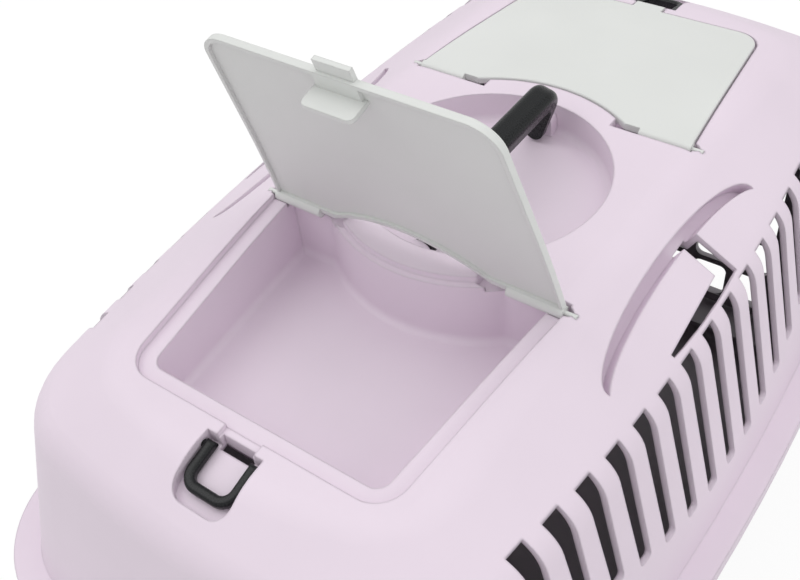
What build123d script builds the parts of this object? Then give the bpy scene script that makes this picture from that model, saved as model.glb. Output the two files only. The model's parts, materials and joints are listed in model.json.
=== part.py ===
from build123d import *
import math
import os

os.makedirs("parts", exist_ok=True)

# A moulded pet carrier: two shells that meet at a flange, two storage boxes with
# hinged lids in the roof, a fold-down handle in a round dish, strap rings at both
# ends and a grille door. All sizes are in millimetres. X runs from the rear end
# towards the door, Y to the left side and Z up from the surface it stands on.

# Body
base_height = 200.0        # floor to the plane where the shells meet
roof_rise = 134.0          # that plane to the flat deck
half_length = 262.0        # outside of the wall at the meeting plane, mid end
half_width = 160.0         # outside of the wall at the meeting plane, mid side
side_bow = 20.0            # how far each long side bows outwards
end_bow = 14.0             # how far each end bows outwards
corner_radius = 52.0
wall = 3.0

# Roof form
wall_inset = 25.5          # how far the leaning wall comes in at the shoulder
shoulder_drop = 28.0       # deck to the shoulder line
slope_inset = 58.5         # from the shoulder line to where the slope ends
slope_over = 6.0           # the slope is carried on above the deck, then cut
shoulder_corner = 48.0
slope_corner = 28.0
shoulder_radius = 22.0
crease_radius = 30.0
deck_flat = 48.0           # half length of the level middle of the deck
deck_fall_deg = 4.6        # the deck falls away towards both ends
deck_bend = 900.0          # radius of the bend between level and falling deck

# Flange where the shells meet
flange_out = 13.0
flange_thick = 3.0
skirt_thick = 2.5
skirt_drop = 9.0
skirt_gap = 0.5

# Base tub
tub_inset = 15.0           # how far the tub wall comes in at the bottom
tub_corner = 50.0
tub_edge = 14.0
foot_rise = 4.0
foot_length = 46.0
foot_width = 26.0
foot_x = 172.0
foot_y = 92.0

# Handle dish and handle
dish_radius = 64.0
dish_depth = 17.0
dish_edge = 4.0
handle_reach = 57.0        # outside of each leg from the dish centre
handle_width = 14.0
handle_thick = 10.0
handle_leg = 8.0
handle_rise = 27.0         # pivot line to the middle of the grip
handle_bend = 14.0         # outside radius where grip and legs meet
handle_round = 4.6
handle_foot = 5.5          # radius of the rounded foot round the pivot
handle_lift = 7.4          # pivot line above the dish floor
handle_lean_deg = 14.0     # leans to the right side, as it stands in the photo
pivot_radius = 2.6
pivot_length = 4.0
pivot_clear = 0.1
boss_gap = 0.5
boss_radius = 6.0

# Storage boxes and lids
hinge_x = 62.0             # hinge edge of a lid
box_half_width = 82.0
box_end_x = 185.0
box_taper = 0.092
box_end_radius = 14.0
ledge_width = 7.0
ledge_depth = 3.5
box_depth = 40.0
box_wall_radius = 81.0     # wall towards the dish, round the dish centre
box_blend = 9.0
box_floor_edge = 4.0
lid_gap = 1.2
lid_proud = 0.8
lid_thick = 2.4
lid_rim = 2.2
lid_lip = 3.2
lid_arc_radius = 79.0
lid_edge = 1.0
lid_roll = 3.2             # radius of the rolled hinge edge
lid_roll_clear = 0.6
lid_open_deg = 77.5
lid_pin_radius = 1.3
lid_pin_length = 6.0
lid_pin_clear = 0.1
lid_pin_mouth = 1.8        # a pin snaps down through this narrow mouth
lid_notch_radius = 3.0     # half-round pocket beside each hinge pin
lid_notch_out = 0.8        # its middle, outside the edge of the lid
tab_reach = 6.0            # finger tab beyond the end of the lid
tab_width = 18.0
catch_length = 12.0        # plate under the end of the lid
catch_width = 22.0
finger_slot = 4.2          # slot through the roof beyond the finger tab
finger_slot_in = 1.4       # how far it starts under the tab

# Ventilation slots
slot_count = 17
slot_pitch = 20.7
slot_top_width = 10.8
slot_foot_width = 8.6
slot_foot_round = 2.6
slot_top_drop = 26.8       # deck to the level top of the middle slots
slot_top_climb = 0.00015   # the tops climb a little towards the ends
slot_inset = 10.0          # the slots are cut from this far inside the shoulder line
slot_foot_drop = 112.0     # deck to the foot of the longest slot
slot_foot_x = -12.0        # where the longest slots are
slot_foot_climb = 0.002    # the feet climb towards the ends

# Belt guides on the shoulders
guide_x = -8.0
guide_half_length = 77.0
guide_half_width = 17.3
guide_y = 114.0
guide_depth = 9.0
guide_groove = 7.5         # trench between the deck side and the lobes
guide_over = 1.0           # the lobes' outline passes the guide's lower edge by this
belt_x = 12.0              # middle of the gap, nearer to the door
belt_gap = 12.5
belt_gap_out = 12.0        # from the guide's middle line to the outer end of the gap
belt_slit_in = 9.5          # from that line to the slit's inner edge, at the gap
belt_slit_tip = 13.0       # the same at the slit's pointed end
belt_slit_length = 59.0

# Strap rings
ring_wire = 5.0
ring_width = 29.0
ring_reach = 20.0
ring_bend = 9.0
ring_x = 196.0
ring_sink = 5.0            # pivot line below the falling deck
ring_slope_deg = 14.0
ring_pin_radius = 1.8
ring_pin_length = 3.2
ring_round = 1.8
ring_pin_clear = 0.1
ring_clear = 0.8
ring_rest = 0.3
scoop_end_radius = 8.0

# Door
door_width = 196.0
door_height = 230.0
door_foot_z = 28.0
door_thick = 7.0
door_x = 262.0             # middle of the door's thickness and its pivot line
door_gap = 1.5
door_frame = 10.0
door_stile = 30.0
door_bar = 5.0
door_bar_deep = 4.5
door_columns = 5
door_rows = 6
door_opening_round = 6.0
door_corner = 4.0
door_pin_radius = 3.0
door_pin_length = 5.0
door_pin_inset = 4.5
door_pin_clear = 0.1
jamb_wall = 4.0
jamb_out_x = 268.5
jamb_in_x = 232.0
stop_width = 4.0
stop_thick = 2.5

# Door bolts
bolt_width = 8.0
bolt_thick = 3.4
bolt_clear = 0.3
bolt_hole_clear = 0.8      # round a bolt, in the jamb
bolt_travel = 8.0
bolt_length = 60.0
bolt_tip_in = 1.0          # tip of a drawn bolt, inside the door's edge
bolt_stop = 20.0           # closed middle of the groove between the bolts
bolt_tab_width = 14.0
bolt_tab_height = 10.0
bolt_tab_out = 8.0
cover_thick = 1.8
cover_over = 4.0

# Side clips
clip_x = 150.0
clip_width = 36.0
clip_thick = 2.6
clip_gap = 0.4
clip_drop = 14.0           # flange top to the clip's pivot line
clip_hook = 2.6
clip_lip = 3.0
clip_pin_radius = 2.2
clip_pin_clear = 0.1
clip_pin_length = 3.0
clip_ear = 4.0
clip_notch = 9.5           # the flange steps back this far behind a clip

deck_z = base_height + roof_rise
fall = math.tan(math.radians(deck_fall_deg))
slope = (shoulder_drop + slope_over) / slope_inset
slope_deg = math.degrees(math.atan(slope))
guide_z = deck_z - shoulder_drop + slope * (half_width - wall_inset - guide_y)
dish_floor = deck_z - dish_depth
pivot_z = dish_floor + handle_lift
pin_x = hinge_x + lid_roll
bend_x = deck_flat + deck_bend * math.sin(math.radians(deck_fall_deg))
bend_z = deck_z - deck_bend * (1 - math.cos(math.radians(deck_fall_deg)))
pin_z = deck_z - deck_bend + math.sqrt(deck_bend ** 2 - (pin_x - deck_flat) ** 2) + lid_proud - lid_roll
swing_in = hinge_x - lid_gap
swing_out = pin_x + lid_roll
swing_low = math.sqrt(lid_arc_radius ** 2 - swing_out ** 2) - lid_gap
swing_far = box_half_width + lid_gap
roll_start = math.sqrt(lid_arc_radius ** 2 - hinge_x ** 2) + box_blend / 2
trough_z = pin_z - lid_roll - lid_roll_clear
lid_notch_y = box_half_width + lid_notch_out
finger_slot_x = box_end_x + tab_reach - finger_slot_in + finger_slot / 2
ring_z = bend_z - fall * (ring_x - bend_x) - ring_sink
door_pin_y = door_pin_inset - door_width / 2
bolt_y = door_width / 2 - door_stile / 2
bolt_x = door_x + door_thick / 2 - bolt_thick / 2 - bolt_clear
clip_z = base_height + flange_thick - clip_drop
clip_edge_y = half_width + flange_out - side_bow * (clip_x / half_length) ** 2 - clip_notch
clip_y = clip_edge_y + clip_gap + clip_thick / 2


def plan_face(z, inset, corner):
    """Bowed plan outline, pulled in by inset, at height z."""
    long_half = half_length - inset
    wide_half = half_width - inset
    x = long_half - end_bow
    y = wide_half - side_bow * (long_half / half_length) ** 2
    with BuildSketch(Plane.XY.offset(z)) as face:
        with BuildLine():
            ThreePointArc((-x, -y), (0, -wide_half), (x, -y))
            ThreePointArc((x, -y), (long_half, 0), (x, y))
            ThreePointArc((x, y), (0, wide_half), (-x, y))
            ThreePointArc((-x, y), (-long_half, 0), (-x, -y))
        make_face()
        fillet(face.vertices(), corner)
    return face.sketch


def roof_under(drop):
    """Everything below the deck surface lowered by drop."""
    low_x = half_length + 2 * flange_out
    low_z = bend_z - fall * (low_x - bend_x)
    with BuildPart() as under:
        with BuildSketch(Plane.XZ):
            with BuildLine():
                Polyline((-bend_x, bend_z - drop), (-low_x, low_z - drop), (-low_x, 0), (low_x, 0),
                         (low_x, low_z - drop), (bend_x, bend_z - drop))
                RadiusArc((bend_x, bend_z - drop), (deck_flat, deck_z - drop), -deck_bend)
                Line((deck_flat, deck_z - drop), (-deck_flat, deck_z - drop))
                RadiusArc((-deck_flat, deck_z - drop), (-bend_x, bend_z - drop), -deck_bend)
            make_face()
        extrude(amount=half_width + flange_out, both=True)
    return under.part


def roof_form(skin):
    """Solid inside of the upper shell's surface, moved inwards by skin."""
    shoulder_z = deck_z - shoulder_drop - 0.4 * skin
    with BuildPart() as form:
        add(plan_face(base_height, skin, corner_radius - skin))
        add(plan_face(shoulder_z, wall_inset + skin, shoulder_corner - skin))
        loft(ruled=True)
        top = plan_face(deck_z + slope_over - skin, wall_inset + slope_inset + skin, slope_corner - skin)
        shoulder = plan_face(shoulder_z, wall_inset + skin, shoulder_corner - skin)
        loft([shoulder, top], ruled=True)
        ring = form.edges().filter_by(lambda e: abs(e.center().Z - shoulder_z) < 0.5)
        fillet(ring, shoulder_radius - skin)
        add(roof_under(skin), mode=Mode.INTERSECT)
        deck_faces = [f for f in form.faces() if f.normal_at().Z > 0.99]
        rim = [e for f in deck_faces for e in f.edges()]
        fillet([e for e in rim if sum(e.is_same(o) for o in rim) == 1], crease_radius - skin)
    return form.part


def plan_slab(low, high, inset, corner):
    """Upright slab with the bowed plan outline."""
    with BuildPart() as slab:
        add(plan_face(low, inset, corner))
        extrude(amount=high - low)
    return slab.part


def box_outline(z, side, end_shift, hinge_shift, arc_radius):
    """Outline of a lid or storage box on one side of the dish, at height z."""
    near = hinge_x - hinge_shift
    far = box_end_x + end_shift
    near_y = box_half_width + end_shift
    far_y = near_y - box_taper * (box_end_x - hinge_x)
    arc_y = math.sqrt(arc_radius ** 2 - near ** 2)
    with BuildSketch(Plane.XY.offset(z)) as face:
        with BuildLine():
            Polyline((side * near, -arc_y), (side * near, -near_y), (side * far, -far_y),
                     (side * far, far_y), (side * near, near_y), (side * near, arc_y))
            ThreePointArc((side * near, arc_y), (side * arc_radius, 0), (side * near, -arc_y))
        make_face()
        ends = face.vertices().filter_by(lambda v: abs(abs(v.X) - far) < 0.1)
        fillet(ends, box_end_radius + end_shift)
        bends = face.vertices().filter_by(lambda v: abs(abs(v.Y) - arc_y) < 0.1)
        fillet(bends, box_blend)
    return face.sketch


def box_space(side, skin):
    """Space of one storage box and of the shallow seat for its lid, grown by skin."""
    floor_z = deck_z - box_depth - skin
    with BuildPart() as well:
        add(box_outline(floor_z, side, skin - ledge_width, skin - lid_gap, box_wall_radius - skin))
        extrude(amount=deck_z - floor_z + 1)
        low = well.edges().filter_by(lambda e: abs(e.center().Z - floor_z) < 0.1)
        fillet(low, box_floor_edge)
    with BuildPart() as seat:
        add(box_outline(base_height, side, lid_gap + skin, lid_gap + skin, lid_arc_radius - lid_gap - skin))
        extrude(amount=roof_rise + 1)
        add(roof_under(ledge_depth + skin), mode=Mode.SUBTRACT)
        for end in (-1, 1):
            with Locations((side * (swing_in + swing_out) / 2, end * (swing_low + swing_far) / 2,
                            trough_z - skin)):
                Box(swing_out - swing_in + 2 * skin, swing_far - swing_low + 2 * skin, box_depth,
                    align=(Align.CENTER, Align.CENTER, Align.MIN))
            with Locations((side * pin_x, end * lid_notch_y, trough_z - skin)):
                Cylinder(lid_notch_radius + skin, box_depth, align=(Align.CENTER, Align.CENTER, Align.MIN))
    with BuildPart() as space:
        add(well.part)
        add(seat.part)
    return space.part


def dish_space(skin):
    """Space of the round handle dish, grown by skin, around its two pivot bosses."""
    with BuildPart() as dish:
        with Locations((0, 0, dish_floor - skin)):
            Cylinder(dish_radius + skin, dish_depth + skin + 1,
                     align=(Align.CENTER, Align.CENTER, Align.MIN))
        low = dish.edges().filter_by(lambda e: abs(e.center().Z - dish_floor + skin) < 0.1)
        fillet(low, dish_edge)
    return dish.part


def handle_boss(side):
    """Pillar at the dish wall that carries one end of the handle."""
    start = handle_reach + boss_gap
    with BuildPart() as boss:
        with BuildSketch(Plane.YZ.offset(side * start)):
            with Locations((0, pivot_z)):
                Circle(boss_radius)
            with Locations((0, (pivot_z + dish_floor) / 2 - wall / 2)):
                Rectangle(2 * boss_radius, pivot_z - dish_floor + wall)
        extrude(amount=side * (dish_radius - start + wall))
        with BuildSketch(Plane.YZ.offset(side * start)):
            with Locations((0, pivot_z)):
                Circle(pivot_radius + pivot_clear)
        extrude(amount=side * (pivot_length + boss_gap), mode=Mode.SUBTRACT)
    return boss.part


def tab_seat(side, skin):
    """Shallow step in the deck under the finger tab of a lid."""
    reach = tab_reach + 2 * lid_gap + skin
    with BuildPart() as seat:
        with Locations((side * (box_end_x + reach / 2), 0, deck_z)):
            Box(reach, tab_width + 2 * (lid_gap + skin), roof_rise)
        add(roof_under(lid_thick + skin), mode=Mode.SUBTRACT)
    return seat.part


def ring_scoop(side, skin):
    """Hollow at one end of the roof that a strap ring lies in."""
    wide = ring_width / 2 + ring_clear + skin
    low = math.tan(math.radians(ring_slope_deg))
    start = ring_x - ring_wire / 2 - 2 * ring_clear - skin
    floor_z = ring_z - (ring_wire / 2 + ring_rest) / math.cos(math.radians(ring_slope_deg)) - skin
    end = ring_x + ring_reach + ring_wire
    with BuildPart() as scoop:
        with BuildSketch(Plane.XZ):
            with BuildLine():
                Polyline((side * start, floor_z + low * (ring_x - start)),
                         (side * end, floor_z - low * (end - ring_x)),
                         (side * end, deck_z + 1), (side * start, deck_z + 1), close=True)
            make_face()
        extrude(amount=wide, both=True)
        tips = [e for e in scoop.edges().filter_by(Axis.Z) if abs(e.center().X) > ring_x + ring_reach]
        fillet(tips, scoop_end_radius)
    return scoop.part


def guide_plane(side):
    """Plane on the shoulder slope: X along the carrier, Z out of the slope."""
    tilt = math.radians(slope_deg)
    return Plane(origin=(0, side * guide_y, guide_z), x_dir=(1, 0, 0),
                 z_dir=(0, side * math.sin(tilt), math.cos(tilt)))


def guide_trench(side, skin):
    """Crescent trench of a belt guide between the deck side and the lobes, grown by skin."""
    shift = guide_groove / 2 + guide_over
    with BuildPart() as trench:
        with BuildSketch(guide_plane(side).offset(-guide_depth - skin)):
            with Locations((guide_x, 0)):
                Ellipse(guide_half_length + skin, guide_half_width + skin)
            with Locations((guide_x, side * (shift + skin))):
                Ellipse(guide_half_length + 2 * guide_over - skin,
                        guide_half_width - shift + 2 * guide_over, mode=Mode.SUBTRACT)
        extrude(amount=3 * guide_depth)
    return trench.part


def roof_spaces(skin):
    """All hollows in the roof in one piece, grown by skin."""
    with BuildPart() as spaces:
        for side in (-1, 1):
            add(box_space(side, skin))
            add(tab_seat(side, skin))
            add(ring_scoop(side, skin))
            add(guide_trench(side, skin))
        add(dish_space(skin))
    return spaces.part


def belt_cut(side):
    """Gap between the two lobes of a belt guide, with the slit beside the rear lobe."""
    gap_in = guide_half_width - guide_groove + guide_over / 2
    rear = belt_x - belt_slit_length
    front = belt_x + belt_gap / 2
    far = 2 * guide_half_width
    with BuildPart() as cut:
        with BuildSketch(guide_plane(side).offset(-3 * guide_depth)):
            with Locations((belt_x, side * (belt_gap_out - gap_in) / 2)):
                Rectangle(belt_gap, gap_in + belt_gap_out)
            with BuildLine():
                Polyline((front - belt_gap, side * belt_slit_in), (rear, side * belt_slit_tip),
                         (rear, side * far), (front, side * far), (front, side * belt_gap_out),
                         (front - belt_gap, side * belt_gap_out), close=True)
            make_face()
            with Locations((guide_x, 0)):
                Ellipse(guide_half_length, guide_half_width, mode=Mode.INTERSECT)
        extrude(amount=5 * guide_depth)
    return cut.part


def slot_cutters():
    """Upright slots of both sides with rounded feet, kept clear of everything under the roof."""
    with BuildPart() as cutters:
        with BuildSketch(Plane.XZ) as faces:
            for i in range(slot_count):
                x = slot_pitch * (i - (slot_count - 1) / 2)
                foot = deck_z - slot_foot_drop + slot_foot_climb * (x - slot_foot_x) ** 2
                top = deck_z - slot_top_drop + slot_top_climb * x * x
                with BuildLine():
                    Polyline((x - slot_top_width / 2, top), (x + slot_top_width / 2, top),
                             (x + slot_foot_width / 2, foot), (x - slot_foot_width / 2, foot), close=True)
                make_face()
            feet = [v for v in faces.vertices() if v.Y < deck_z - slot_top_drop - 2 * slot_foot_round]
            fillet(feet, slot_foot_round)
        extrude(amount=half_width + flange_out, both=True)
        add(plan_slab(base_height, deck_z, wall_inset + slot_inset, slope_corner), mode=Mode.SUBTRACT)
    return cutters.part


def clip_notch_cut():
    """Steps in the flange behind the four side clips."""
    with BuildPart() as cut:
        for x in (-clip_x, clip_x):
            for side in (-1, 1):
                with Locations((x, side * (clip_edge_y + half_width / 2), base_height)):
                    Box(clip_width + 2 * (2 * clip_gap + clip_ear), half_width, 3 * clip_drop)
    return cut.part


def doorway(low_z, high_z, start_x, end_x, grow):
    """Rounded doorway prism, between two heights and two distances from the middle."""
    with BuildPart() as way:
        with BuildSketch(Plane.YZ.offset(start_x)):
            with Locations((0, door_foot_z + door_height / 2)):
                RectangleRounded(door_width + 2 * (door_gap + grow), door_height + 2 * (door_gap + grow),
                                 door_corner + grow)
        extrude(amount=end_x - start_x)
        with Locations(((start_x + end_x) / 2, 0, (low_z + high_z) / 2)):
            Box(2 * (end_x - start_x), 2 * half_width, high_z - low_z, mode=Mode.INTERSECT)
    return way.part


def door_jamb(low_z, high_z):
    """Collar round the doorway, between two heights, with pivot and bolt holes."""
    stop_x = door_x - door_thick / 2 - 2 * bolt_clear - stop_thick / 2
    with BuildPart() as jamb:
        add(doorway(low_z, high_z, jamb_in_x, jamb_out_x, jamb_wall))
        add(doorway(low_z, high_z, jamb_in_x - wall, jamb_out_x + wall, 0), mode=Mode.SUBTRACT)
        with Locations((stop_x, door_width / 2 + door_gap - stop_width / 2, (low_z + high_z) / 2)):
            Box(stop_thick, stop_width, high_z - low_z)
        add(doorway(low_z, high_z, jamb_in_x, jamb_out_x, jamb_wall), mode=Mode.INTERSECT)
        with Locations((door_x, door_pin_y, base_height)):
            Cylinder(door_pin_radius + door_pin_clear, 2 * base_height, mode=Mode.SUBTRACT)
        with Locations((bolt_x, bolt_y, base_height)):
            Box(bolt_thick + 2 * bolt_hole_clear, bolt_width + 2 * bolt_hole_clear, 2 * base_height,
                mode=Mode.SUBTRACT)
    return jamb.part


def shell_holes():
    """Pin seats, finger slots, belt gaps and clip notches of the upper shell."""
    seat_end = box_half_width + lid_pin_length + lid_pin_clear
    with BuildPart() as holes:
        for side in (-1, 1):
            for end in (-1, 1):
                with Locations((side * pin_x, end * (box_half_width + seat_end) / 2, pin_z)):
                    Cylinder(lid_pin_radius + lid_pin_clear, seat_end - box_half_width, rotation=(90, 0, 0))
                    with Locations((0, 0, box_depth / 2)):
                        Box(lid_pin_mouth, seat_end - box_half_width, box_depth)
            with Locations((side * finger_slot_x, 0, deck_z - box_depth / 2)):
                Box(finger_slot, tab_width, 2 * box_depth)
            with Locations((side * ring_x, 0, ring_z)):
                Cylinder(ring_pin_radius + ring_pin_clear, ring_width + 2 * ring_pin_length + wall,
                         rotation=(90, 0, 0))
            add(belt_cut(side))
        add(clip_notch_cut())
    return holes.part


def make_top_shell():
    flange_top = base_height + flange_thick
    with BuildPart() as cavity:
        add(roof_form(wall))
        add(roof_spaces(wall), mode=Mode.SUBTRACT)
        add(plan_slab(base_height - 2 * skirt_drop, base_height, wall, corner_radius - wall))
    with BuildPart() as shell:
        add(roof_form(0))
        add(plan_slab(base_height - skirt_drop, flange_top, -flange_out, corner_radius + flange_out))
        add(plan_slab(base_height - skirt_drop, base_height, skirt_thick - flange_out,
                      corner_radius + flange_out - skirt_thick), mode=Mode.SUBTRACT)
        add(roof_spaces(0), mode=Mode.SUBTRACT)
        add(shell_holes(), mode=Mode.SUBTRACT)
        add(cavity.part, mode=Mode.SUBTRACT)
        for side in (-1, 1):
            add(handle_boss(side))
        add(doorway(0, deck_z, jamb_in_x - 4 * wall, half_length + 2 * flange_out, jamb_wall / 2),
            mode=Mode.SUBTRACT)
        add(doorway(0, base_height, jamb_in_x - 4 * wall, half_length + 2 * flange_out,
                    jamb_wall + skirt_gap), mode=Mode.SUBTRACT)
        add(door_jamb(base_height, deck_z))
        add(slot_cutters(), mode=Mode.SUBTRACT)
    shell.part.label = "top_shell"
    return shell.part


def tub_form(skin):
    """Solid inside of the base tub's surface, moved inwards by skin."""
    floor_z = foot_rise + skin
    with BuildPart() as form:
        low = plan_face(floor_z, tub_inset + skin, tub_corner - skin)
        high = plan_face(base_height, skin, corner_radius - skin)
        loft([low, high], ruled=True)
        edge = form.edges().filter_by(lambda e: abs(e.center().Z - floor_z) < 0.1)
        fillet(edge, tub_edge - skin)
    return form.part


def clip_ears():
    """Pairs of ears under the base flange that carry the side clips."""
    with BuildPart() as ears:
        for x in (-clip_x, clip_x):
            for ear in (-1, 1):
                for side in (-1, 1):
                    ear_x = x + ear * (clip_width / 2 + clip_gap + clip_ear / 2)
                    with BuildSketch(Plane.YZ.offset(ear_x - clip_ear / 2)):
                        with BuildLine():
                            Polyline((side * (clip_y - flange_out), base_height - flange_thick),
                                     (side * (clip_y + 2 * clip_pin_radius), base_height - flange_thick),
                                     (side * (clip_y + 2 * clip_pin_radius), clip_z - clip_pin_radius),
                                     (side * (clip_y - flange_out), clip_z - 3 * clip_pin_radius), close=True)
                        make_face()
                        with Locations((side * clip_y, clip_z)):
                            Circle(clip_pin_radius + clip_pin_clear, mode=Mode.SUBTRACT)
                    extrude(amount=clip_ear)
    return ears.part


def make_base_tub():
    rim_out = flange_out - skirt_thick - skirt_gap
    with BuildPart() as tub:
        add(tub_form(0))
        add(plan_slab(base_height - flange_thick, base_height, -rim_out, corner_radius + rim_out))
        add(clip_notch_cut(), mode=Mode.SUBTRACT)
        for x in (-foot_x, foot_x):
            for y in (-foot_y, foot_y):
                with BuildSketch(Plane.XY):
                    with Locations((x, y)):
                        RectangleRounded(foot_length, foot_width, foot_width / 3)
                extrude(amount=foot_rise + tub_edge)
        add(clip_ears())
        add(tub_form(wall), mode=Mode.SUBTRACT)
        add(doorway(0, base_height, jamb_in_x - 4 * wall, half_length + 2 * flange_out, jamb_wall / 2),
            mode=Mode.SUBTRACT)
        add(door_jamb(0, base_height))
    tub.part.label = "base_tub"
    return tub.part


def make_lid(side):
    """A storage lid in its closed place, with rolled hinge edge, pins, rim and finger tab."""
    end_x = box_end_x + tab_reach
    roll_length = box_half_width - roll_start
    with BuildPart() as hollow:
        add(box_outline(base_height, side, -lid_rim, -2 * lid_roll, lid_arc_radius + lid_rim))
        extrude(amount=roof_rise)
        add(roof_under(lid_thick - lid_proud), mode=Mode.INTERSECT)
    with BuildPart() as catch:
        with Locations((side * (box_end_x - catch_length / 2), 0, deck_z)):
            Box(catch_length, catch_width, roof_rise)
        add(roof_under(0), mode=Mode.INTERSECT)
        add(roof_under(lid_lip), mode=Mode.SUBTRACT)
    with BuildPart() as tab:
        with Locations((side * (box_end_x + end_x) / 2 - side, 0, deck_z)):
            Box(tab_reach + 2, tab_width, roof_rise)
        add(roof_under(-lid_proud), mode=Mode.INTERSECT)
        add(roof_under(lid_thick - lid_proud), mode=Mode.SUBTRACT)
    with BuildPart() as lid:
        add(box_outline(base_height, side, 0, 0, lid_arc_radius))
        extrude(amount=roof_rise + 2 * lid_lip)
        add(roof_under(-lid_proud), mode=Mode.INTERSECT)
        top = [f for f in lid.faces() if f.normal_at().Z > 0.99]
        rim = [e for f in top for e in f.edges()]
        fillet([e for e in rim if sum(e.is_same(o) for o in rim) == 1], lid_edge)
        add(roof_under(lid_lip), mode=Mode.SUBTRACT)
        add(hollow.part, mode=Mode.SUBTRACT)
        add(catch.part)
        with Locations((side * (hinge_x - lid_roll), 0, deck_z)):
            Box(4 * lid_roll, 3 * box_half_width, roof_rise, mode=Mode.SUBTRACT)
        for end in (-1, 1):
            with Locations((side * pin_x, end * (roll_start + roll_length / 2), pin_z)):
                Cylinder(lid_roll, roll_length, rotation=(90, 0, 0))
            with Locations((side * pin_x, end * (box_half_width + lid_pin_length / 2 - lid_roll / 2), pin_z)):
                Cylinder(lid_pin_radius, lid_pin_length + lid_roll, rotation=(90, 0, 0))
        add(tab.part)
    return lid.part


def make_handle():
    """The carrying handle, upright, with its pivot line at the origin."""
    inner = handle_reach - handle_leg
    top = handle_rise + handle_thick / 2
    under = handle_rise - handle_thick / 2
    with BuildPart() as handle:
        with BuildSketch(Plane.XZ):
            with Locations((0, (top - handle_foot) / 2)):
                Rectangle(2 * handle_reach, top + handle_foot)
            with Locations((0, under / 2 - handle_foot)):
                Rectangle(2 * inner, under + 2 * handle_foot, mode=Mode.SUBTRACT)
        extrude(amount=handle_width / 2, both=True)
        across = handle.edges().filter_by(Axis.Y)
        fillet([e for e in across if e.center().Z > top - 1], handle_bend)
        fillet([e for e in across if abs(e.center().Z - under) < 1], handle_bend / 2)
        with BuildSketch(Plane.YZ.offset(-handle_reach)):
            Circle(handle_foot)
            with BuildLine():
                Polyline((-handle_foot, 0), (-handle_width / 2, under), (-handle_width / 2, top),
                         (handle_width / 2, top), (handle_width / 2, under), (handle_foot, 0), close=True)
            make_face()
        extrude(amount=2 * handle_reach, mode=Mode.INTERSECT)
        crown = [e for e in handle.edges()
                 if e.center().Z > handle_rise and e.bounding_box().max.Z > under + 1
                 and abs(abs(e.center().Y) - handle_width / 2) < 0.1
                 and (e.center().Z > top - 1 or abs(e.center().X) > handle_reach - 6)]
        fillet(crown, handle_round)
        for side in (-1, 1):
            with Locations((side * (handle_reach + pivot_length / 2 - 1), 0, 0)):
                Cylinder(pivot_radius, pivot_length + 2, rotation=(0, 90, 0))
    return handle.part


def make_ring(side):
    """A flat strap ring with its two pivot pins, pivot line at the origin."""
    arm = ring_wire / 2
    inner = ring_reach - ring_wire
    with BuildPart() as gap:
        with Locations((side * (inner - ring_reach) / 2, 0, 0)):
            Box(inner + ring_reach, ring_width - 2 * ring_wire, 2 * ring_wire)
        far = [e for e in gap.edges().filter_by(Axis.Z) if side * e.center().X > 0]
        fillet(far, ring_bend - ring_wire)
    with BuildPart() as ring:
        with BuildSketch(Plane.XY.offset(-arm)):
            with Locations((side * (ring_reach - arm) / 2, 0)):
                Rectangle(ring_reach + arm, ring_width)
        extrude(amount=ring_wire)
        corners = ring.edges().filter_by(Axis.Z)
        fillet([e for e in corners if abs(e.center().X) > inner], ring_bend)
        add(gap.part, mode=Mode.SUBTRACT)
        fillet(ring.edges().filter_by(lambda e: abs(abs(e.center().Z) - arm) < 0.1), ring_round)
        for end in (-1, 1):
            with Locations((0, end * (ring_width / 2 + ring_pin_length / 2 - arm / 2), 0)):
                Cylinder(ring_pin_radius, ring_pin_length + arm, rotation=(90, 0, 0))
    return ring.part


def make_door():
    """Grille door with pivot pins on its right edge and a grooved stile on its left."""
    inside_left = door_width / 2 - door_stile
    inside_right = door_frame - door_width / 2
    span = inside_left - inside_right
    middle = (inside_left + inside_right) / 2
    rise = door_height - 2 * door_frame
    wide_step = (span + door_bar) / door_columns
    high_step = (rise + door_bar) / door_rows
    middle_z = door_foot_z + door_height / 2
    front_x = door_x + door_thick / 2
    with BuildPart() as door:
        with BuildSketch(Plane.YZ.offset(door_x - door_thick / 2)):
            with Locations((0, middle_z)):
                RectangleRounded(door_width, door_height, door_corner)
            with Locations((middle, middle_z)):
                RectangleRounded(span, rise, door_corner, mode=Mode.SUBTRACT)
        extrude(amount=door_thick)
        with BuildSketch(Plane.YZ.offset(door_x - door_bar_deep / 2)):
            with Locations((middle, middle_z)):
                Rectangle(span + 2, rise + 2)
                with GridLocations(wide_step, high_step, door_columns, door_rows):
                    RectangleRounded(wide_step - door_bar, high_step - door_bar, door_opening_round,
                                     mode=Mode.SUBTRACT)
        extrude(amount=door_bar_deep)
        pin_edge = [e for e in door.edges().filter_by(Axis.Z) if e.center().Y < -door_width / 2 + 0.1]
        fillet(pin_edge, 0.45 * door_thick)
        with Locations((front_x - bolt_thick / 2 - bolt_clear, bolt_y, middle_z)):
            Box(bolt_thick + 2 * bolt_clear, bolt_width + 2 * bolt_clear, 2 * door_height,
                mode=Mode.SUBTRACT)
        with Locations((bolt_x, bolt_y, middle_z)):
            Box(bolt_thick + 2 * bolt_clear, bolt_width + 4 * bolt_clear, bolt_stop)
        for end in (-1, 1):
            with Locations((door_x, door_pin_y, middle_z + end * (door_height + door_pin_length) / 2)):
                Cylinder(door_pin_radius, door_pin_length)
    return door.part


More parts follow.
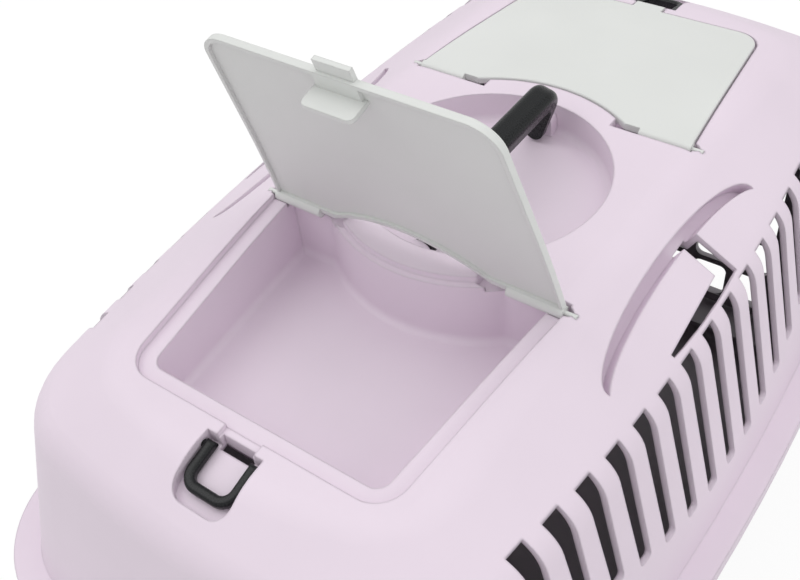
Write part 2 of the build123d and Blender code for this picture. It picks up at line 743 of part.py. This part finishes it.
def make_bolt(end):
    """One sliding door bolt, drawn back, with its thumb tab."""
    middle_z = door_foot_z + door_height / 2
    tip_z = middle_z + end * (door_height / 2 - bolt_tip_in)
    tab_z = tip_z - end * bolt_length + end * bolt_tab_height / 2
    with BuildPart() as bolt:
        with Locations((bolt_x, bolt_y, tip_z - end * bolt_length / 2)):
            Box(bolt_thick, bolt_width, bolt_length)
        with Locations((bolt_x + bolt_tab_out / 2, bolt_y, tab_z)):
            Box(bolt_thick + bolt_tab_out, bolt_width - 2, bolt_tab_height)
        with Locations((door_x + door_thick / 2 + cover_thick + bolt_clear + bolt_tab_out / 2,
                        bolt_y, tab_z)):
            Box(bolt_tab_out - 1, bolt_tab_width, bolt_tab_height)
        outer = [e for e in bolt.edges() if e.center().X > door_x + door_thick / 2 + cover_thick + 1]
        fillet(outer, 1.5)
    return bolt.part


def make_cover():
    """Plate over the bolts' groove, with a slot for each thumb tab to move in."""
    middle_z = door_foot_z + door_height / 2
    with BuildPart() as cover:
        with BuildSketch(Plane.YZ.offset(door_x + door_thick / 2)):
            with Locations((bolt_y, middle_z)):
                RectangleRounded(bolt_width + 2 * cover_over, door_height - 2 * door_frame, cover_over)
        extrude(amount=cover_thick)
        for end in (-1, 1):
            tab_z = middle_z + end * (door_height / 2 - bolt_tip_in - bolt_length + bolt_tab_height / 2)
            with Locations((door_x + door_thick / 2, bolt_y, tab_z + end * bolt_travel / 2)):
                Box(4 * cover_thick, bolt_width - 2 + 2 * bolt_clear,
                    bolt_tab_height + bolt_travel + 2 * bolt_clear, mode=Mode.SUBTRACT)
        front = cover.faces().sort_by(Axis.X)[-1]
        chamfer(front.outer_wire().edges(), cover_thick / 3)
    return cover.part


def make_clip(x, side):
    """A side clip: plate, hook over the flange, thumb lip and two pivot pins."""
    top = base_height + flange_thick + clip_gap
    inner_y = clip_y - clip_thick / 2
    outer_y = clip_y + clip_thick / 2
    with BuildPart() as clip:
        with BuildSketch(Plane.YZ.offset(x - clip_width / 2)):
            with BuildLine():
                Polyline((side * inner_y, clip_z), (side * inner_y, top), (side * (inner_y - clip_hook), top),
                         (side * (inner_y - clip_hook), top + clip_thick),
                         (side * (outer_y + clip_lip), top + clip_thick + clip_lip / 2),
                         (side * (outer_y + clip_lip), top + clip_lip / 2 + clip_thick / 3),
                         (side * outer_y, top), (side * outer_y, clip_z), close=True)
            make_face()
            with Locations((side * clip_y, clip_z)):
                Circle(clip_pin_radius)
        extrude(amount=clip_width)
        with Locations((x, side * clip_y, clip_z)):
            Cylinder(clip_pin_radius, clip_width + 2 * (clip_gap + clip_pin_length), rotation=(0, 90, 0))
    return clip.part


def store(piece, name):
    """Name a finished piece and write its file."""
    piece.label = name
    export_step(piece, "parts/" + name + ".step")
    print(name, len(piece.solids()), round(piece.volume))


store(make_top_shell(), "top_shell")
store(make_base_tub(), "base_tub")
store(make_lid(1), "front_lid")
rear_axis = Axis((-pin_x, 0, pin_z), (0, 1, 0))
store(make_lid(-1).rotate(rear_axis, lid_open_deg), "rear_lid")
lean = Location((0, 0, pivot_z), (handle_lean_deg, 0, 0))
store(make_handle().moved(lean), "carry_handle")
store(make_ring(1).moved(Location((ring_x, 0, ring_z), (0, ring_slope_deg, 0))), "front_strap_ring")
store(make_ring(-1).moved(Location((-ring_x, 0, ring_z), (0, -ring_slope_deg, 0))), "rear_strap_ring")
store(make_door(), "door_grille")
store(make_bolt(1), "upper_bolt")
store(make_bolt(-1), "lower_bolt")
store(make_cover(), "bolt_cover")
for x, along in ((-clip_x, "rear"), (clip_x, "front")):
    for side, across in ((-1, "right"), (1, "left")):
        store(make_clip(x, side), along + "_" + across + "_clip")
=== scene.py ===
import json
import math

import bpy
from mathutils import Matrix, Vector


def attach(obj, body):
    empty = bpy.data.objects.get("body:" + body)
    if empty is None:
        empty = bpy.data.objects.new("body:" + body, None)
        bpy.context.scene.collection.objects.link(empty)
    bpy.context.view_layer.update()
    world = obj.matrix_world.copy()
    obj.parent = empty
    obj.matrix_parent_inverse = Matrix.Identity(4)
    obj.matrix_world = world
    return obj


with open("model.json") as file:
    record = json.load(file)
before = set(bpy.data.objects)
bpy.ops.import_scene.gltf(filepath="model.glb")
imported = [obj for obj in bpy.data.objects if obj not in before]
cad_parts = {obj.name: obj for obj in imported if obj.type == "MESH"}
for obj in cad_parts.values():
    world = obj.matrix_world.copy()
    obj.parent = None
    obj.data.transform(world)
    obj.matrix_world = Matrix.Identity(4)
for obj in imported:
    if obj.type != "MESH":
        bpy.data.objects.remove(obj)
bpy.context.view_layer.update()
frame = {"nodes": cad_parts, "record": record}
nodes = frame["nodes"]

# Where the photograph was taken from: the point looked at, the distance and the turn
DECK_Z = 0.334
LOOK_AT = Vector((-0.0921, -0.0131, DECK_Z))
DISTANCE = 0.4548
AZIMUTH = math.radians(220.7)
ELEVATION = math.radians(45.27)
ROLL = math.radians(-7.456)
LENS = 45.54
SENSOR_WIDTH = 36.0
NEAR_LIMIT = 0.01
FAR_LIMIT = 50.0

# Colours of the plastics
SHELL_COLOUR = (0.80, 0.695, 0.79)
LID_COLOUR = (0.73, 0.745, 0.725)
BLACK_COLOUR = (0.010, 0.011, 0.012)
DARK_COLOUR = (0.27, 0.245, 0.27)

# What all the plastics share
BLOTCH_SCALE = 9.0          # slow variation of the colour
BLOTCH_DETAIL = 3.0
BLOTCH_FROM, BLOTCH_TO = 0.3, 0.7
GRAIN_DETAIL = 4.0
GRAIN_STRENGTH = 0.35
ROUGHNESS_BELOW = 0.05      # the grain shifts the roughness between these two
ROUGHNESS_ABOVE = 0.06
EDGE_SAMPLES = 4
PLASTIC_IOR = 1.49

# Snap catch that hangs under the end of each lid, inside the mouth of its box
CATCH_OUT = 0.1763          # its outer face, from the middle of the carrier, with the lid closed
CATCH_WIDTH = 0.0255
CATCH_TOP = 0.3256          # just inside the lid's own plate
CATCH_DEPTH = 0.0125
CATCH_THICK = 0.0022
CATCH_CORNER = 0.003
CORNER_STEPS = 5

# Studio
FLOOR_REACH = 6.0
FLOOR_COLOUR = (0.84, 0.84, 0.84, 1)
FLOOR_ROUGHNESS = 0.9
FLOOR_WHITE = 1.05          # white that the camera sees in place of part of the floor
FLOOR_SHARE = 0.85          # the rest is the lit floor, which carries the shadow
WHITE = (1, 1, 1, 1)
DOME_STRENGTH = 0.70
LIGHTS_AIM = Vector((0, 0, 0.25))
LIGHTS = (                  # name, place, size and power
    ("key_light", (-0.6, 1.3, 2.2), 1.6, 10.0),
    ("top_light", (0.3, -0.2, 2.6), 2.2, 11.0),
    ("side_light", (0.5, -2.2, 1.5), 1.8, 7.0),
)


def new_object(name, data):
    thing = bpy.data.objects.new(name, data)
    bpy.context.scene.collection.objects.link(thing)
    return thing


def new_material(name):
    material = bpy.data.materials.new(name)
    material.use_nodes = True
    tree = material.node_tree
    return material, tree, tree.nodes["Principled BSDF"]


def noise(tree, place, scale, detail):
    texture = tree.nodes.new("ShaderNodeTexNoise")
    texture.inputs["Scale"].default_value = scale
    texture.inputs["Detail"].default_value = detail
    tree.links.new(place.outputs["Object"], texture.inputs["Vector"])
    return texture.outputs["Fac"]


def tint(colour, factor):
    return tuple(min(1.0, c * factor) for c in colour) + (1.0,)


def moulded_plastic(name, colour, roughness, grain, grain_depth, soft_edge, variation=0.04, gloss=0.5):
    """Injection-moulded plastic: fine grain, slow variation of the colour and soft edges."""
    material, tree, bsdf = new_material(name)
    link = tree.links.new
    place = tree.nodes.new("ShaderNodeTexCoord")

    ramp = tree.nodes.new("ShaderNodeValToRGB")
    darker, lighter = ramp.color_ramp.elements
    darker.position, darker.color = BLOTCH_FROM, tint(colour, 1.0 - variation)
    lighter.position, lighter.color = BLOTCH_TO, tint(colour, 1.0 + variation / 2)
    link(noise(tree, place, BLOTCH_SCALE, BLOTCH_DETAIL), ramp.inputs["Fac"])
    link(ramp.outputs["Color"], bsdf.inputs["Base Color"])

    fine = noise(tree, place, grain, GRAIN_DETAIL)
    rough = tree.nodes.new("ShaderNodeMapRange")
    rough.inputs["To Min"].default_value = roughness - ROUGHNESS_BELOW
    rough.inputs["To Max"].default_value = roughness + ROUGHNESS_ABOVE
    link(fine, rough.inputs["Value"])
    link(rough.outputs["Result"], bsdf.inputs["Roughness"])

    edge = tree.nodes.new("ShaderNodeBevel")
    edge.samples = EDGE_SAMPLES
    edge.inputs["Radius"].default_value = soft_edge
    bump = tree.nodes.new("ShaderNodeBump")
    bump.inputs["Strength"].default_value = GRAIN_STRENGTH
    bump.inputs["Distance"].default_value = grain_depth
    link(fine, bump.inputs["Height"])
    link(edge.outputs["Normal"], bump.inputs["Normal"])
    link(bump.outputs["Normal"], bsdf.inputs["Normal"])

    bsdf.inputs["IOR"].default_value = PLASTIC_IOR
    bsdf.inputs["Specular IOR Level"].default_value = gloss
    return material


def use(material, *names):
    """Gives CAD nodes their finish."""
    for name in names:
        if not nodes[name].material_slots:
            nodes[name].data.materials.append(material)
        for place in nodes[name].material_slots:
            place.material = material


def catch_outline():
    """Points across and up, round a plate with two rounded lower corners."""
    half = CATCH_WIDTH / 2
    corner_y = half - CATCH_CORNER
    corner_z = CATCH_TOP - CATCH_DEPTH + CATCH_CORNER
    points = [(-half, CATCH_TOP)]
    for across, start in ((-1, math.pi), (1, 1.5 * math.pi)):
        for step in range(CORNER_STEPS + 1):
            turn = start + step / CORNER_STEPS * math.pi / 2
            points.append((across * corner_y + CATCH_CORNER * math.cos(turn),
                           corner_z + CATCH_CORNER * math.sin(turn)))
    points.append((half, CATCH_TOP))
    return points


def catch_mesh(name, side):
    """The plate as it hangs with the lid closed, side -1 at the rear and 1 at the door end."""
    outline = catch_outline()
    count = len(outline)
    places = [(side * (CATCH_OUT - inset), y, z) for inset in (0, CATCH_THICK) for y, z in outline]
    faces = [tuple(range(count)), tuple(range(2 * count - 1, count - 1, -1))]
    for i in range(count):
        following = (i + 1) % count
        faces.append((i, i + count, following + count, following))
    if side < 0:
        faces = [tuple(reversed(face)) for face in faces]
    mesh = bpy.data.meshes.new(name)
    mesh.from_pydata(places, [], faces)
    return mesh


def add_catch(body, side):
    """Turns the catch from the closed lid to where the lid stands at rest, and rides it on the lid."""
    name = body + "_catch"
    mesh = catch_mesh(name, side)
    mesh.materials.append(lid)
    joints = frame["record"]["behaviour"]["joints"]
    hinge = next(joint for joint in joints if joint["name"] == body + "_hinge")
    pin = Matrix.Translation(Vector(hinge["pos_m"]))
    opening = Matrix.Rotation(math.radians(-min(hinge["range_deg"])), 4, Vector(hinge["axis"]))
    piece = new_object(name, mesh)
    piece.matrix_world = pin @ opening @ pin.inverted()
    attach(piece, body)


def show_white(tree, shader, strength, share):
    """Mixes a share of plain white into what the camera and rays through glass see of a shader."""
    link = tree.links.new
    white = tree.nodes.new("ShaderNodeEmission")
    white.inputs["Color"].default_value = WHITE
    white.inputs["Strength"].default_value = strength
    path = tree.nodes.new("ShaderNodeLightPath")
    seen = tree.nodes.new("ShaderNodeMath")
    seen.operation = "MAXIMUM"
    link(path.outputs["Is Camera Ray"], seen.inputs[0])
    link(path.outputs["Is Transmission Ray"], seen.inputs[1])
    part = tree.nodes.new("ShaderNodeMath")
    part.operation = "MULTIPLY"
    part.inputs[1].default_value = share
    link(seen.outputs[0], part.inputs[0])
    mix = tree.nodes.new("ShaderNodeMixShader")
    link(part.outputs[0], mix.inputs["Fac"])
    link(shader, mix.inputs[1])
    link(white.outputs["Emission"], mix.inputs[2])
    return mix.outputs["Shader"]


def add_floor():
    corners = [(across * FLOOR_REACH, along * FLOOR_REACH, 0)
               for across, along in ((-1, -1), (1, -1), (1, 1), (-1, 1))]
    mesh = bpy.data.meshes.new("studio_floor")
    mesh.from_pydata(corners, [], [(0, 1, 2, 3)])
    floor = new_object("studio_floor", mesh)
    material, tree, bsdf = new_material("studio_floor")
    bsdf.inputs["Base Color"].default_value = FLOOR_COLOUR
    bsdf.inputs["Roughness"].default_value = FLOOR_ROUGHNESS
    seen = show_white(tree, bsdf.outputs["BSDF"], FLOOR_WHITE, FLOOR_SHARE)
    tree.links.new(seen, tree.nodes["Material Output"].inputs["Surface"])
    mesh.materials.append(material)


def add_dome():
    world = bpy.data.worlds.new("studio")
    bpy.context.scene.world = world
    world.use_nodes = True
    tree = world.node_tree
    dome = tree.nodes["Background"]
    dome.inputs["Color"].default_value = WHITE
    dome.inputs["Strength"].default_value = DOME_STRENGTH
    seen = show_white(tree, dome.outputs["Background"], 1.0, 1.0)
    tree.links.new(seen, tree.nodes["World Output"].inputs["Surface"])


def soft_light(name, place, size, power):
    data = bpy.data.lights.new(name, "AREA")
    data.shape = "DISK"
    data.size = size
    data.energy = power
    lamp = new_object(name, data)
    lamp.location = place
    lamp.rotation_euler = (LIGHTS_AIM - Vector(place)).to_track_quat("-Z", "Y").to_euler()


def add_camera():
    """The photograph's camera, rolled about its own line of sight."""
    data = bpy.data.cameras.new("photo_camera")
    data.sensor_fit = "HORIZONTAL"
    data.sensor_width = SENSOR_WIDTH
    data.lens = LENS
    data.clip_start = NEAR_LIMIT
    data.clip_end = FAR_LIMIT
    camera = new_object("photo_camera", data)
    back = Vector((math.cos(AZIMUTH) * math.cos(ELEVATION), math.sin(AZIMUTH) * math.cos(ELEVATION),
                   math.sin(ELEVATION)))
    right = (-back).cross(Vector((0, 0, 1))).normalized()
    up = right.cross(-back)
    tilted_right = right * math.cos(ROLL) + up * math.sin(ROLL)
    tilted_up = up * math.cos(ROLL) - right * math.sin(ROLL)
    turn = Matrix((tilted_right, tilted_up, back)).transposed().to_4x4()
    camera.matrix_world = Matrix.Translation(LOOK_AT + back * DISTANCE) @ turn
    bpy.context.scene.camera = camera


shell = moulded_plastic("lilac_plastic", SHELL_COLOUR, 0.46, 2200, 0.00006, 0.0016)
lid = moulded_plastic("light_grey_plastic", LID_COLOUR, 0.44, 2600, 0.00005, 0.0007)
black = moulded_plastic("black_plastic", BLACK_COLOUR, 0.27, 900, 0.00004, 0.0006,
                        variation=0.1, gloss=0.28)
dark = moulded_plastic("dark_grey_plastic", DARK_COLOUR, 0.38, 2200, 0.00006, 0.0008)
use(shell, "top_shell")
use(dark, "base_tub", "door_grille", "bolt_cover")
use(lid, "front_lid", "rear_lid", "rear_right_clip", "rear_left_clip",
    "front_right_clip", "front_left_clip")
use(black, "carry_handle", "front_strap_ring", "rear_strap_ring", "upper_bolt", "lower_bolt")

add_catch("rear_lid", -1)
add_catch("front_lid", 1)

add_floor()
add_dome()
for light in LIGHTS:
    soft_light(*light)
add_camera()
bpy.context.scene.view_settings.view_transform = "Standard"
